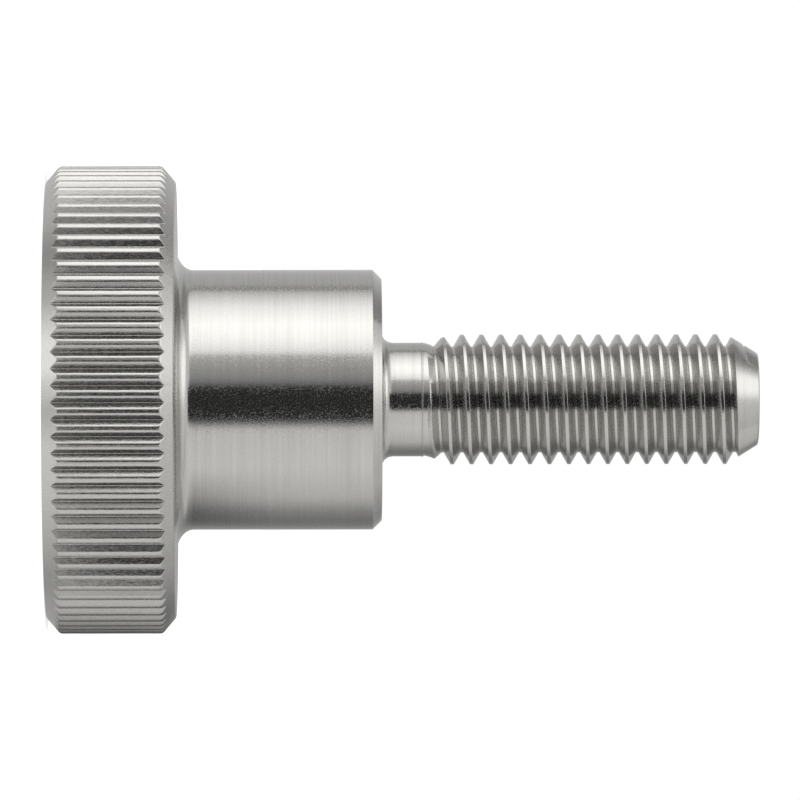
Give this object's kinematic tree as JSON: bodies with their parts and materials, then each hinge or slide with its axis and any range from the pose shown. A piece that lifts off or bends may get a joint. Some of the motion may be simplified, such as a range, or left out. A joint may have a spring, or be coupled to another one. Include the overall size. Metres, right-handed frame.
{
  "type": "knurled thumb screw",
  "caption": "Thumb screw turned in one piece: straight-knurled round head, collar with a flat seat, relieved neck and right-hand metric thread.",
  "frame": {"origin": "centre of the flat face of the knurled head, on which the screw stands", "axes": "+Z along the screw's axis from the head to the threaded tip; a knurl groove faces -Y"},
  "size_m": [0.036, 0.036, 0.0548],
  "materials": {
    "screw": "turned"
  },
  "bodies": {
    "root": {"thumb_screw": "screw"}
  },
  "joints": []
}
